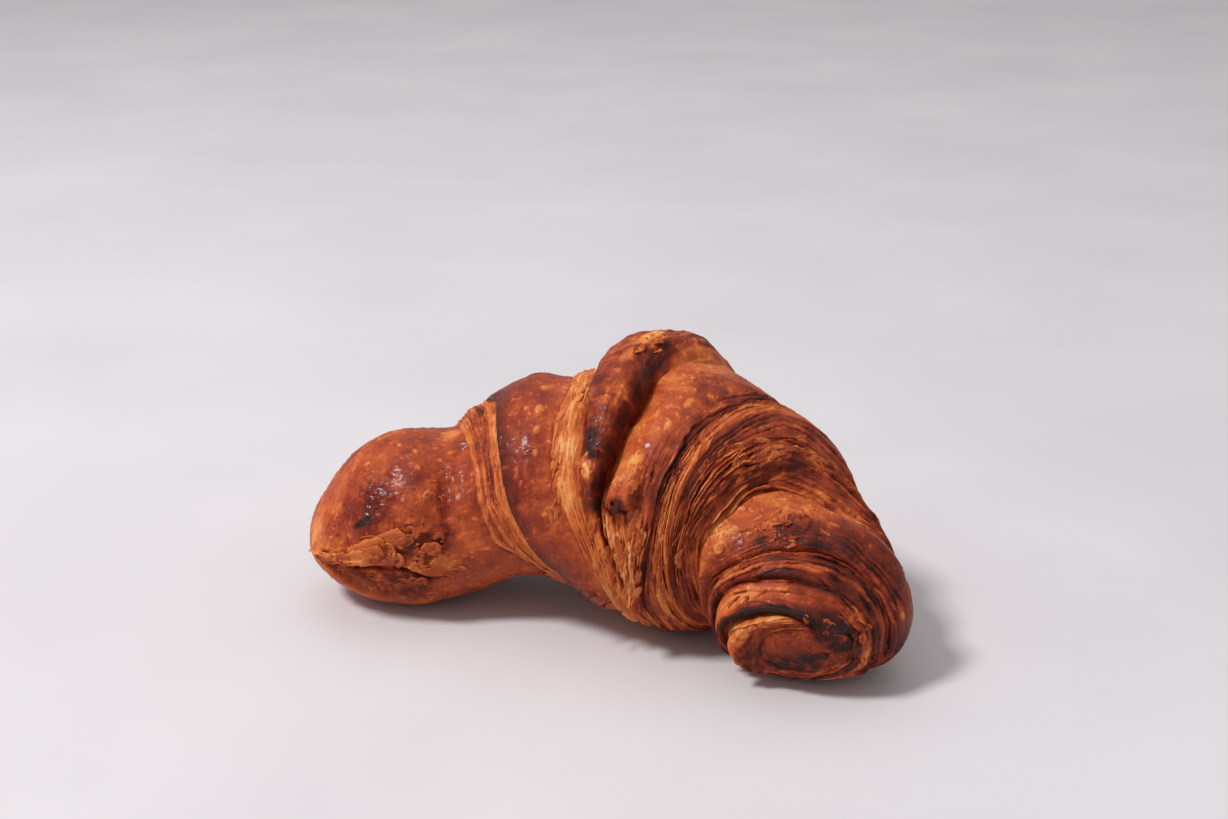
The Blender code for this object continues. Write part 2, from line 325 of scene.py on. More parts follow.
ROWS = 480
ROW_CROWDING = 0.35       # how much closer the rows lie on the front than on the back
CROWDED_ANGLE = 45.0
EDGE_CROWDING = 0.45      # how much closer the columns lie at a wrap's edges
TIP_CROWDING = 1.8
SEAM_WALL = 0.07          # half the run of the wall at a seam
LIP_ROUND = 1.1           # radius of a covering edge
LIP_REACH = 0.7           # how far a covering edge hangs over
TUCK_DEPTH = 0.9          # how deep a covered edge dips
TUCK_WIDTH = 1.6
HIDDEN_RUN = 4.0          # how far a piece runs on under its neighbour
HIDDEN_DEPTH = 4.0
HIDDEN_STEPS = 5

# Marks on the dough: its wrap, (along, angle), reach along and round in mm, browning
# added (painted light on the lobe's rim), height added in mm, and gloss added.
MARKS = {
    "lobe_glaze": ("left_end", (-78, 49), (14.0, 14.0), 0.22, 0.2, 0.5),
    "lobe_scorch": ("left_end", (-79.5, 58), (3.4, 1.9), 0.45, -0.2, -0.1),
    # painted light: the left tip's rim is painted paler where the light falls on it
    "lobe_rim": ("left_end", (-90, 14), (3.5, 16.0), -0.2, 0.0, -0.2),
    "notch_gold": ("left_end", (-52, 0), (3.6, 6.0), -0.3, 0.2, 0.0),
    "notch_hollow": ("left_end", (-49.5, 34), (3.4, 11.0), -0.02, -1.3, 0.3),
    "lobe_lip": ("left_end", (-83, 84), (14.0, 4.6), -0.14, 2.6, -0.2),
    "lobe_under": ("left_end", (-80, 120), (14.0, 8.0), 0.12, -2.2, 0.0),
    "lobe_tear": ("left_end", (-64, 82), (14.0, 7.5), 0.12, 0.3, -0.2),
    "curl": ("bulge", (15, 112), (4.5, 3.2), -0.1, 2.6, -0.1),
    "slope_crevice": ("right_slope", (46, 8), (1.0, 16.0), 0.0, -0.9, 0.1),
    "slope_crevice_two": ("right_slope", (40, -2), (0.8, 12.0), 0.0, -0.7, 0.1),
    "lobe_low_pale": ("left_end", (-56, 95), (9.0, 6.0), -0.14, 0.2, -0.2),
    "lobe_crease": ("left_end", (-54, 55), (3.0, 16.0), 0.14, -0.8, 0.3),
    "lobe_low_dark": ("left_end", (-66, 106), (12.0, 7.0), 0.14, 0.0, 0.0),
    "skin_crown": ("left_skin", (-27, -6), (7.0, 9.0), 0.06, 0.5, 0.1),
    "torn_pale": ("left_torn", (-14, 15), (4.5, 16.0), -0.05, 0.4, -0.1),
    "tongue_black": ("tongue", (-3, 46), (6.0, 5.6), 0.42, -0.2, 0.0),
    "tongue_tan": ("tongue", (-3, 57), (4.0, 3.2), -0.5, 0.5, -0.1),
    "tongue_end": ("tongue", (0.0, 70), (4.5, 4.5), 0.26, 0.0, -0.2),
    "tongue_blotch": ("tongue", (2.5, -8), (4.0, 7.0), -0.26, 0.3, -0.1),
    "tongue_blotch_two": ("tongue", (0.0, 8), (2.6, 4.0), -0.24, 0.2, -0.1),
    "tongue_back": ("tongue", (12, -30), (7.0, 9.0), -0.1, 0.0, 0.0),
    "bulge_shine": ("bulge", (20, 2), (8.0, 9.0), 0.1, 0.4, 0.1),
    "bulge_scorch": ("bulge", (24, 30), (2.6, 9.0), 0.2, 0.4, 0.0),
    "flap_pale": ("bulge", (13, 52), (4.5, 4.0), -0.22, 0.3, -0.2),
    "flap_burn": ("bulge", (10.5, 68), (3.4, 2.6), 0.5, 0.2, 0.0),
    "flap_end": ("bulge", (15.5, 64), (2.6, 3.4), 0.24, 0.2, 0.1),
    "strands_pale": ("bulge", (14, 88), (8.0, 14.0), -0.22, 0.2, 0.0),
    "torn_low": ("left_torn", (-4, 82), (8.0, 14.0), 0.12, 0.0, 0.1),
    "slope_pale": ("right_slope", (43, 4), (3.0, 9.0), -0.16, 0.6, -0.1),
    "slope_dark": ("right_slope", (49, -4), (3.0, 9.0), 0.08, -0.4, 0.0),
    "slope_low": ("right_slope", (42, 88), (4.0, 9.0), -0.16, -0.6, 0.1),
    "skin_dark_spot": ("right_skin", (64, 10), (9.0, 7.0), 0.16, 0.2, 0.1),
    "skin_far_dark": ("right_skin", (69, -12), (10.0, 20.0), 0.08, 0.2, 0.1),
    "turn_far_dark": ("turn_one", (74, 0), (8.0, 26.0), 0.08, 0.0, 0.0),
    "skin_flecks": ("right_skin", (49, 54), (4.0, 5.0), -0.18, 0.1, -0.1),
    "end_burn": ("right_end", (79.8, -70), (5.0, 16.0), 0.3, 0.0, 0.0),
    "turn_burn": ("turn_two", (78, 0), (7.0, 34.0), 0.2, 0.0, 0.0),
}
# Torn skin: its wrap, (along, angle), reach along and round, size of the scraps along
# and round, and amount.
SCRAPS = (
    ("left_end", (-65, 82), (17.0, 9.5), (3.8, 3.8), 1.6),
    ("left_end", (-62, 45), (14.0, 14.0), (4.0, 4.0), 0.4),
    ("left_end", (-84, 84), (9.0, 5.0), (5.0, 3.0), 0.8),
    ("left_face", (-42, 20), (8.0, 60.0), (1.4, 7.0), 0.6),
    ("left_skin", (-25, 58), (6.0, 16.0), (3.0, 3.0), 0.35),
    ("left_skin", (-30, 100), (9.0, 12.0), (3.0, 5.0), 0.5),
    ("left_torn", (-15, 40), (8.0, 60.0), (1.3, 8.0), 0.8),
    ("tongue", (2.5, -8), (7.0, 11.0), (4.4, 4.4), 0.8),
    ("tongue", (-1, 32), (6.0, 12.0), (1.6, 4.0), 0.5),
    ("tongue", (-2, 57), (5.0, 5.0), (3.0, 3.0), 0.8),
    ("tongue", (6, 92), (9.0, 12.0), (1.6, 6.0), 0.9),
    ("bulge", (13, 52), (5.5, 6.0), (2.8, 2.8), 1.0),
    ("bulge", (16, 2), (8.0, 7.0), (2.2, 2.2), 0.5),
    ("bulge", (14, 92), (9.0, 16.0), (1.8, 7.0), 1.1),
    ("right_rib", (26, 60), (8.0, 60.0), (1.2, 7.0), 0.8),
    ("right_face", (33, 30), (6.0, 45.0), (1.6, 8.0), 0.7),
    ("right_slope", (42, 10), (8.0, 30.0), (2.0, 9.0), 0.8),
    ("right_slope", (42, 60), (8.0, 26.0), (1.5, 11.0), 0.5),
    ("right_skin", (60, 16), (9.0, 14.0), (3.0, 3.0), 1.0),
    ("right_skin", (49, 54), (5.0, 6.0), (2.6, 2.6), 0.9),
    ("turn_one", (60, 50), (9.0, 40.0), (1.4, 8.0), 0.6),
)
# Loose scraps on the crust: the piece they lie on, (along, angle), spread along in mm
# and round in degrees, count, length, width, curl, browning, and which way they point:
# 0 along the roll, 90 round it.
LOOSE = (
    ("crust_left_lobe", (-66, 80), (11, 9), 9, 6.0, 3.4, 0.5, 0.46, 20),
    ("crust_left_lobe", (-72, 75), (6, 5), 5, 7.5, 3.2, 0.7, 0.44, 10),
    ("crust_left_lobe", (-84, 84), (6, 5), 6, 7.0, 3.2, 0.6, 0.46, 6),
    ("crust_left_lobe", (-58, 62), (6, 14), 8, 2.6, 1.6, 0.4, 0.46, 40),
    ("crust_left_lobe", (-62, 104), (12, 8), 10, 4.5, 2.2, 0.5, 0.56, 10),
    ("crust_left_wraps", (-15, 50), (2, 40), 16, 6.0, 0.8, 0.5, 0.34, 88),
    ("crust_tongue", (3, -6), (3, 14), 5, 4.0, 2.6, 0.3, 0.5, 70),
    ("crust_tongue", (-3, 57), (2, 5), 4, 3.0, 1.8, 0.3, 0.5, 60),
    ("crust_tongue", (4, 96), (5, 16), 18, 7.0, 1.0, 0.7, 0.46, 88),
    ("crust_bulge", (12, 56), (3, 6), 6, 3.0, 2.0, 0.4, 0.4, 60),
    ("crust_bulge", (15, 90), (4, 16), 24, 7.0, 1.5, 0.7, 0.38, 86),
    ("crust_bulge", (27, 50), (2, 50), 14, 6.0, 0.9, 0.5, 0.42, 88),
    ("crust_right_wraps", (41, 5), (5, 26), 14, 6.0, 1.6, 0.5, 0.48, 84),
    ("crust_right_wraps", (38, 60), (4, 30), 12, 6.0, 1.0, 0.5, 0.5, 86),
    ("crust_right_lobe", (61, 12), (6, 18), 16, 3.0, 2.0, 0.3, 0.5, 40),
    ("crust_right_lobe", (50, 54), (2, 10), 5, 3.4, 1.8, 0.3, 0.34, 60),
    ("crust_right_lobe", (60, 45), (5, 24), 8, 6.0, 1.0, 0.4, 0.48, 80),
    ("crust_right_tip", (66, 60), (6, 20), 6, 5.0, 1.2, 0.4, 0.54, 80),
    ("crust_right_tip", (79, -20), (1, 60), 10, 2.4, 1.6, 0.3, 0.6, 60),
    ("crust_bulge", (14, -100), (8, 50), 16, 5.0, 1.4, 0.5, 0.46, 86),
    ("crust_right_wraps", (42, -90), (6, 40), 14, 5.0, 1.2, 0.5, 0.48, 86),
    ("crust_left_wraps", (-30, -90), (16, 40), 14, 5.0, 1.4, 0.5, 0.48, 86),
)
# Dark threads of dough that stick out over the table: (along, angle) of the root,
# length, and the way they point, from 0 straight out of the roll.
WHISKERS = (((-3, 122), 4.5, -52), ((-1, 124), 6.0, -30), ((1, 121), 5.0, -44),
            ((3, 123), 5.0, 10), ((5, 121), 6.0, -24), ((8, 124), 4.0, 20))
WHISKER_WIDTH = 0.55
WHISKER_BAKE = 0.8
FLAKE_GLOSS, FLAKE_FRAY = 0.3, 0.4
FLAKE_SEED = 7
FLAKE_LONG, FLAKE_WIDE = 11, 6
FLAKE_SUNK = 0.15
FLAKE_THICK = 0.16
FLAKE_SWING = 24.0
# Small blisters: (along, angle), radius, and how far they stand up.
BLISTERS = (((-25, 8), 1.1, 0.55), ((-24.5, 26), 1.5, 0.9), ((-24, 38), 1.2, 0.8),
            ((-23, 51), 0.9, 0.5), ((-27, 66), 0.7, 0.4), ((-28.5, 24), 0.7, 0.35),
            ((19, 16), 1.3, 0.4), ((17, 30), 1.0, 0.35), ((-62, 20), 0.8, 0.35),
            ((-66, 12), 0.7, 0.3), ((-55, 28), 0.6, 0.3))
BLISTER_PALE = 0.32


def ragged_seam(name, angle):
    """A seam's place with its uneven edge."""
    order = list(SEAMS).index(name)
    coarse = lumps(round_roll(3.1 * order, angle, 9.0), 40 + order)
    fine = lumps(round_roll(5.3 * order, angle, 1.8), 60 + order)
    place = seam_place(name, angle)
    room = np.clip((RIGHT_TIP - place) / 14, 0.04, 1)
    return place + room * (0.55 * coarse + 0.22 * fine)


def wrap_edges(name, angle):
    """Where a wrap starts and ends along the spine, just inside its two seams."""
    seams = list(SEAMS)
    number = list(WRAPS).index(name)
    start = np.full_like(angle, LEFT_TIP)
    end = np.full_like(angle, RIGHT_TIP)
    if name != FIRST_WRAP:
        start = ragged_seam(seams[number - 1], angle) + SEAM_WALL
    if name != LAST_WRAP:
        end = ragged_seam(seams[number], angle) - SEAM_WALL
    tight = np.minimum(end - start, 0)
    return start + tight, end


def column_shares(name):
    """Where a wrap's columns lie across it, closer together at its edges."""
    even = np.linspace(0, 1, WRAPS[name]["columns"])
    if name == FIRST_WRAP:
        return even[1:] ** TIP_CROWDING
    if name == LAST_WRAP:
        return 1 - (1 - even[:-1]) ** TIP_CROWDING
    return even - EDGE_CROWDING * np.sin(2 * np.pi * even) / (2 * np.pi)


class Dough:
    """What is known at each point of a wrap, column by column."""

    def __init__(self, name, angle):
        self.name = name
        self.angle = angle[None, :] * np.ones((len(column_shares(name)), 1))
        start, end = wrap_edges(name, angle)
        self.share = column_shares(name)[:, None] * np.ones_like(self.angle)
        self.gap = (end - start)[None, :] * np.ones_like(self.angle)
        self.along = start[None, :] + self.share * self.gap
        self.plain = plain_roll(self.along, self.angle)
        self.width = np.clip(self.gap / FULL_RELIEF_WIDTH, 0, 1)
        self.height = profile(WRAPS[name]["stand"], self.share) * self.width
        self.lean = np.zeros_like(self.angle)
        self.bake = profile(WRAPS[name]["bake"], self.share)
        self.gloss = np.full_like(self.angle, WRAPS[name]["gloss"])
        self.fray = np.zeros_like(self.angle)


def soft_edges(dough):
    """Rounds the edges that lie over their neighbours, and tucks in the covered ones."""
    seams = list(SEAMS)
    number = list(WRAPS).index(dough.name)
    from_left = dough.share * dough.gap
    from_right = (1 - dough.share) * dough.gap
    for side, seam_number, distance, toward in (("left", number - 1, from_left, -1),
                                                ("right", number, from_right, 1)):
        if not 0 <= seam_number < len(seams) or dough.name == "tongue":
            continue
        deep = dough.width * SEAM_DEPTH.get(seams[seam_number], 1.0)
        over = OVER[seams[seam_number]] != side
        if over:
            near = np.clip(1 - distance / LIP_ROUND, 0, 1)
            dough.height -= LIP_ROUND * (1 - np.sqrt(1 - near ** 2)) * deep
            dough.lean += toward * LIP_REACH * np.exp(-distance / 1.2) * deep
            dough.bake += 0.12 * np.exp(-(distance / 0.8) ** 2)
        else:
            dough.height -= TUCK_DEPTH * np.exp(-distance / TUCK_WIDTH) * deep


def layered_share(dough):
    """How much of a wrap shows its layers, where the rest of it is smooth skin."""
    if dough.name == "bulge":
        shown = ease(62, 72, dough.angle) + ease(0.8, 0.96, dough.share)
        shown = shown + ease(0.55, 0.75, dough.share) * ease(24, 50, dough.angle)
        return np.clip(shown + ease(-40, -90, dough.angle), 0, 1)
    if dough.name == "tongue":
        return 0.15 + 0.85 * ease(70, 82, dough.angle)
    if dough.name == "right_face":
        return 0.4 + 0.6 * ease(0.2, 0.5, dough.share)
    if dough.name == "right_skin":
        far = ease(0.66, 0.84, dough.share) * ease(64, 30, dough.angle)
        return far * ease(-170, -120, dough.angle)
    if dough.name == LAST_WRAP:
        return ease(0.0, 0.5, 1 - dough.share)
    return np.ones_like(dough.share)


def cut_layers(dough, seed):
    """Stacks of thin layers that show along a wrap, some of them torn away."""
    spec = WRAPS[dough.name]
    layers, cut, tear = spec["layers"], spec["cut"], spec["tear"]
    amount = layered_share(dough)
    even = dough.share * layers
    number = even + 1.7 * lumps(round_roll(even * 0.28 + seed, dough.angle, 24.0), seed)
    number = number + 0.4 * lumps(round_roll(even * 0.9, dough.angle, 9.0), seed + 1)
    number = number + 0.10 * tear * lumps(round_roll(even, dough.angle, 2.4), seed + 2)
    index = np.floor(number)
    part = number - index
    left_side = list(WRAPS).index(dough.name) <= list(WRAPS).index("tongue")
    run = 1 - part if left_side else part
    own = 1.3 * lumps(round_roll(index * 3.73 + seed, dough.angle, 16.0), seed + 5)
    quick = lumps(round_roll(index * 2.31 + seed, dough.angle, 3.6), seed + 6)
    torn = ease(0.12, 0.26, own + 0.45 * quick) * tear
    shingle = run ** 0.7 * ease(1.0, 0.9, run)
    crest = ease(0.55, 0.8, run) * ease(1.0, 0.93, run)
    crack = np.exp(-(np.minimum(part, 1 - part) / 0.1) ** 2)
    calm = ease(-0.3, 0.3, clouds(round_roll(dough.along / 4.5, dough.angle, 11.0), 1.0,
                                  seed + 9, 2))
    blotch = clouds(dough.plain, 8.0, seed + 14, 3)
    fine = number * 3.0 + 0.5 * lumps(round_roll(even * 2, dough.angle, 12.0), seed + 11)
    thread = fine - np.floor(fine)
    thread_tone = lumps(round_roll(np.floor(fine) * 5.17, dough.angle, 11.0), seed + 12)
    thread_line = np.exp(-(np.minimum(thread, 1 - thread) / 0.2) ** 2)
    depth = amount * np.clip(dough.gap / (0.9 * layers), 0, 1) * cut * (0.25 + 1.1 * calm)
    dough.height += depth * (2.3 * (shingle - 0.5) - 1.3 * torn + 1.1 * own)
    dough.height -= depth * 0.35 * (thread_line + 0.8 * thread_tone)
    dough.bake += amount * (0.2 * own + 0.1 * thread_tone - 0.10 * torn + 0.2 * blotch)
    # painted shade: the crack where one layer steps down onto the next is painted darker
    dough.bake += amount * (0.3 + 0.7 * calm) * (
        0.2 * crack - 0.2 * crest * ease(-0.1, 0.3, quick + 0.3 * calm) + 0.06 * thread_line)
    dough.gloss += amount * (0.25 * own - 0.25 * torn)
    dough.fray += amount * (0.5 + 0.5 * calm)
    return amount


def uneven_skin(dough, seed, amount):
    """Low swells, pimples and thin torn places of the smooth skin."""
    points = dough.plain
    swell = clouds(points, 11.0, seed, 2)
    pimple = clouds(points, 1.7, seed + 3, 2)
    mottle = clouds(points, 5.5, seed + 7, 4)
    fleck = ease(0.4, 0.6, clouds(points, 1.7, seed + 11, 2))
    torn = ease(0.30, 0.36, clouds(points, 7.0, seed + 15, 4))
    dough.height += 0.45 * swell + amount * (0.12 * pimple - 0.2 * torn + 0.1 * fleck)
    dough.bake += 0.08 * swell + amount * (0.13 * mottle - 0.2 * fleck - 0.06 * torn)
    dough.gloss += 0.25 * mottle * amount - 0.25 * torn * amount


def near(dough, place, reach):
    """1 at a place on the roll, fading to 0 at its uneven edge."""
    wobble = clouds(dough.plain, 4.0, 301, 3)
    turn = (dough.angle - place[1] + 180) % 360 - 180
    x = (dough.along + dough.lean - place[0]) / reach[0]
    y = np.radians(turn) * ROLL_RADIUS / reach[1]
    return ease(0.0, 0.7, 1 - np.sqrt(x * x + y * y) + 0.35 * wobble)


def lift_scraps(dough):
    """Scraps of skin torn loose, with pale curled rims."""
    for number, (wrap, place, reach, size, amount) in enumerate(SCRAPS):
        if wrap != dough.name:
            continue
        here = amount * near(dough, place, reach)
        field = clouds(round_roll(dough.along / size[0], dough.angle, size[1]), 1.0,
                       401 + 7 * number, 3)
        plate = ease(0.06, 0.12, field)
        rim = plate * np.exp(-((field - 0.1) / 0.06) ** 2)
        dough.height += here * (0.4 * plate + 0.2 * rim - 0.2)
        # painted shade: the sunken gaps between the plates of skin are painted darker
        dough.bake += here * (0.11 - 0.17 * plate - 0.14 * rim)
        dough.gloss -= here * 0.3 * plate


def put_marks(dough):
    """Adds the scorched, pale, raised and hollow places."""
    for wrap, place, reach, bake, height, gloss in MARKS.values():
        if wrap != dough.name:
            continue
        strength = near(dough, place, reach)
        dough.bake += strength * bake
        dough.height += strength * height
        dough.gloss += strength * gloss
    for (along, angle), radius, height in BLISTERS:
        x = dough.along + dough.lean - along
        y = np.radians(dough.angle - angle) * ROLL_RADIUS / 1.35
        dome = np.sqrt(np.clip(1 - (x * x + y * y) / radius ** 2, 0, 1))
        dough.height += height * dome
        dough.bake -= BLISTER_PALE * dome


def glaze_crackle(dough):
    """The blistered, glossy patch of egg wash on the left lobe."""
    x = (dough.along + 79) / 12.0
    y = np.radians(dough.angle - 48) * ROLL_RADIUS / 13.0
    here = ease(0.0, 0.6, 1 - np.sqrt(x * x + y * y) + 0.25 * clouds(dough.plain, 5.0, 77, 2))
    bubble = np.abs(clouds(dough.plain, 2.0, 81, 3))
    dough.height += here * 0.8 * (0.35 - bubble)
    dough.bake += here * 0.12 * (bubble - 0.3)


def end_mouth(dough):
    """The slit along the front of the left lobe, where its last turn closes."""
    level = profile(((-91, 108), (-84, 96), (-74, 94), (-60, 103), (-48, 112)), dough.along)
    offset = np.radians(dough.angle - level) * ROLL_RADIUS
    offset = offset + 1.3 * clouds(dough.plain, 7.0, 91, 3)
    run = ease(-92, -88, dough.along) * ease(-52, -64, dough.along)
    open_run = run * (0.45 + 0.55 * ease(-0.3, 0.3, clouds(dough.plain, 6.0, 92, 2)))
    lip = np.exp(-((offset + 2.0) / 2.0) ** 2)
    slit = np.exp(-(offset / 0.8) ** 2)
    below = ease(0.0, 1.0, offset) * ease(16.0, 8.0, offset)
    shift = clouds(np.stack([dough.along / 14, offset / 3, 0 * offset], -1), 1, 95, 3)
    line = offset / 1.5 + 0.8 * shift
    part = line - np.floor(line)
    shelf = part ** 0.8 * ease(1.0, 0.85, part)
    tone = lumps(np.stack([np.floor(line) * 3.1, dough.along / 5, 0 * line], -1), 97)
    dough.height += open_run * (0.7 * lip - 1.9 * slit) + run * below * (0.9 * shelf - 0.7)
    # painted shade: the open slit is painted darker
    dough.bake += run * (-0.08 * lip + below * (0.25 * tone + 0.1)) + 0.3 * open_run * slit
    dough.fray += run * below


def back_share(angle):
    """1 on the back and the top, where the tongue widens to a dune, 0 in front."""
    return ease(26, -14, angle)


def bulge_form(dough):
    """The bulge's hollow beside the tongue, its rise to it, and its loose lower end."""
    from_left = dough.share * dough.gap
    hollow = ease(2, 30, dough.angle) * ease(70, 56, dough.angle)
    dough.height -= 2.0 * np.exp(-(from_left / 8.0) ** 2) * hollow
    # painted shade: the hollow beside the tongue is painted a little darker
    dough.bake += 0.04 * np.exp(-(from_left / 9.0) ** 2) * hollow
    rise_up = back_share(dough.angle) * ease(-135, -70, dough.angle)
    foot = 0.8 + 0.36 * profile(TONGUE_RIDGE, dough.angle)
    dough.height += (0.9 * np.exp(-from_left / 1.6) + foot * np.exp(-from_left / 5)) * rise_up
    brink = 69 - 0.75 * (dough.along - 9)
    sides = ease(0.1, 0.26, dough.share) * ease(0.85, 0.5, dough.share)
    ragged = dough.angle + 4.0 * clouds(dough.plain, 2.6, 121, 3)
    rise = ease(40, 62, dough.angle) * ease(brink + 2.2, brink - 0.4, ragged)
    dough.height += 3.4 * rise * sides
    below = ease(brink - 1, brink + 3, ragged) * ease(95, 75, dough.angle)
    dough.height -= 1.4 * below * sides


def end_arc(dough):
    """The burnt brim of the last turn but one, which hangs over the tip's hollow."""
    wobble = 0.05 * clouds(dough.plain, 5.0, 143, 2)
    run = ease(22, 42, dough.angle) * ease(104, 88, dough.angle)
    brim = ease(0.78, 0.9, dough.share + wobble) * run
    dough.height += 1.2 * brim
    dough.bake += 0.5 * brim
    dough.gloss -= 0.2 * brim


def end_roll(dough):
    """The right tip's hollow under the burnt brim, the ribbed roll and the dark swirl."""
    front = ease(46, 62, dough.angle) * ease(150, 120, dough.angle)
    wobble = 0.05 * clouds(dough.plain, 6.0, 141, 2)
    place = dough.share + wobble
    hollow = np.exp(-(place / 0.16) ** 2) * front
    roll = np.exp(-((place - 0.34) / 0.13) ** 2) * front
    ribs = np.abs(np.sin(np.radians(dough.angle) * 14 + 3 * clouds(dough.plain, 7.0, 142, 2)))
    dough.height += roll * (2.0 + 0.9 * ribs) - 2.6 * hollow
    # painted light: the hollow under the brim is painted paler, glowing orange as if lit
    dough.bake += -0.12 * hollow - roll * (0.04 + 0.16 * ribs)
    dark = ease(66, 40, dough.angle) * ease(-170, -120, dough.angle)
    dark = np.maximum(dark, ease(104, 122, dough.angle) * ease(180, 150, dough.angle))
    dough.bake += dark * (0.2 + 0.3 * clouds(dough.plain, 2.4, 144, 3))
    dough.height += dark * 0.3 * clouds(dough.plain, 2.4, 144, 3)


def tongue_section(dough):
    """The tongue: a thick rope of dough in front, a dune across the top and the back."""
    half = dough.gap / 2
    centre = dough.along - dough.share * dough.gap + half
    around = np.radians(-118 + 236 * dough.share)
    height = profile(TONGUE_RIDGE, dough.angle)
    sway = np.sign(np.sin(around)) * np.abs(np.sin(around)) ** 0.85
    scallop = 1 + 0.12 * lumps(round_roll(1.0, dough.angle, 3.6), 131)
    rounded = np.sign(np.cos(around)) * np.abs(np.cos(around)) ** 0.62
    peak = 0.5 + 0.5 * profile(((0, 0.1), (0.4, 0.75), (0.66, 1.0), (1, 0.75)), dough.share)
    dig = 0.8 + 2.2 * ease(84, 66, dough.angle)
    rope = rounded * np.where(rounded < 0, dig, height * peak * scallop)
    rope_lean = centre + half * sway * scallop + 0.12 * height * peak - dough.along
    flank = profile(((0, -0.3), (0.06, 0.3), (0.2, 0.8), (0.42, 0.97), (0.66, 1.0),
                     (0.82, 0.86), (0.93, 0.6), (1, 0.36)), dough.share)
    dune = height * flank * (1 + 0.05 * clouds(dough.plain, 9.0, 133, 2))
    dune_lean = -0.16 * height * ease(0.0, 0.12, dough.share) * ease(0.5, 0.15, dough.share)
    back = back_share(dough.angle)
    dough.height = rope + back * (dune - rope)
    dough.lean = rope_lean + back * (dune_lean - rope_lean)
    fold = clouds(round_roll(dough.share * 3.4, dough.angle, 5.0), 1.0, 135, 3)
    rough = clouds(dough.plain, 2.0, 136, 3)
    scratch = clouds(round_roll(dough.share * 16, dough.angle, 4.0), 1.0, 138, 2)
    dough.height += (0.7 * fold + 0.34 * rough) * ease(76, 62, dough.angle) * (1 - 0.4 * back)
    dough.bake += 0.16 * fold + 0.12 * rough + 0.12 * scratch
    end = ease(70, 80, dough.angle)
    dough.bake += end * (0.4 - dough.bake)
    slope = ease(0.5, 0.66, dough.share) * back
    lines = lumps(round_roll(dough.share * 30, dough.angle, 16.0), 137)
    lines = lines * ease(1.0, 0.85, dough.share)
    dough.bake += slope * (0.42 * lines - 0.2 * ease(0.72, 0.9, dough.share) + 0.04)
    dough.height += 0.22 * slope * lines


def darker_end(dough):
    """The right lobe darkens toward its far side and its foot: partly browning, partly painted
    shade on the side away from the light.
    """
    out = ease(56, 68, dough.along) * ease(-175, -130, dough.angle)
    side = ease(58, 0, dough.angle)
    foot = ease(92, 112, dough.angle) * ease(180, 150, dough.angle) * ease(60, 66, dough.along)
    patch = 0.6 + 0.5 * clouds(dough.plain, 6.0, 151, 3)
    # partly browning, partly painted shade: the far side and the foot are painted darker
    dough.bake += 0.17 * out * np.maximum(side, foot) * patch


def shape_wrap(name, angle):
    dough = Dough(name, angle)
    seed = 200 + 20 * list(WRAPS).index(name)
    if name == "tongue":
        tongue_section(dough)
    soft_edges(dough)
    layered = np.zeros_like(dough.share)
    if WRAPS[name]["layers"]:
        layered = cut_layers(dough, seed)
    uneven_skin(dough, seed + 8, 1 - layered)
    lift_scraps(dough)
    if name == "left_end":
        glaze_crackle(dough)
        end_mouth(dough)
    if name == "bulge":
        bulge_form(dough)
    if name == "turn_two":
        end_arc(dough)
    if name == "right_end":
        end_roll(dough)
    darker_end(dough)
    put_marks(dough)
    return dough


FIELDS = ("along", "angle", "height", "lean", "bake", "gloss", "fray")


def hidden_edge(fields, first):
    """Columns that run on under the neighbouring piece, and down."""
    edge = {key: value[0 if first else -1] for key, value in fields.items()}
    toward = -1 if first else 1
    columns = []
    for step in range(1, HIDDEN_STEPS + 1):
        share = step / HIDDEN_STEPS
        column = dict(edge)
        column["lean"] = edge["lean"] + toward * HIDDEN_RUN * share
        column["height"] = edge["height"] - HIDDEN_DEPTH * math.sin(share * math.pi / 2)
        columns.append(column)
    if first:
        columns.reverse()
    return {key: np.array([column[key] for column in columns]) for key in fields}


def tongue_edge(fields, first):
    """The tongue's undersides meet inside the roll."""
    edge = {key: value[0 if first else -1] for key, value in fields.items()}
    edge["height"] = edge["height"] - 2.0
    return {key: value[None, :] for key, value in edge.items()}


def lay_out(wrap_names, angle):
    """All the fields of a piece, with its hidden edges."""
    wraps = [shape_wrap(name, angle) for name in wrap_names]
    fields = {key: np.concatenate([getattr(w, key) for w in wraps]) for key in FIELDS}
    edge_maker = tongue_edge if wrap_names[0] == "tongue" else hidden_edge
    parts = [fields]
    if wrap_names[0] != FIRST_WRAP:
        parts.insert(0, edge_maker(fields, True))
    if wrap_names[-1] != LAST_WRAP:
        parts.append(edge_maker(fields, False))
    return {key: np.concatenate([part[key] for part in parts]) for key in FIELDS}


def stand_off(fields):
    """The points of a piece in millimetres, and the way out at each of them."""
    angle = fields["angle"]
    along = np.clip(fields["along"] + fields["lean"], LEFT_TIP + TIP_GAP, RIGHT_TIP - TIP_GAP)
    points = plain_roll(along, angle)
    nearest = TIP_GAP / 2
    ahead = plain_roll(np.clip(along + SLOPE_STEP, LEFT_TIP, RIGHT_TIP - nearest), angle)
    behind = plain_roll(np.clip(along - SLOPE_STEP, LEFT_TIP + nearest, RIGHT_TIP), angle)
    left = plain_roll(along, angle + SLOPE_TURN)
    right = plain_roll(along, angle - SLOPE_TURN)
    outward = np.cross(left - right, ahead - behind)
    outward /= np.linalg.norm(outward, axis=-1, keepdims=True) + 1e-9
    fading = np.clip(points[..., 2] / RELIEF_ABOVE, 0, 1)
    height = fields["height"] * fading
    points = points + outward * height[..., None]
    points[..., 2] = np.maximum(points[..., 2], TABLE_GAP)
    return points, outward


# ---------------------------------------------------------------- meshes

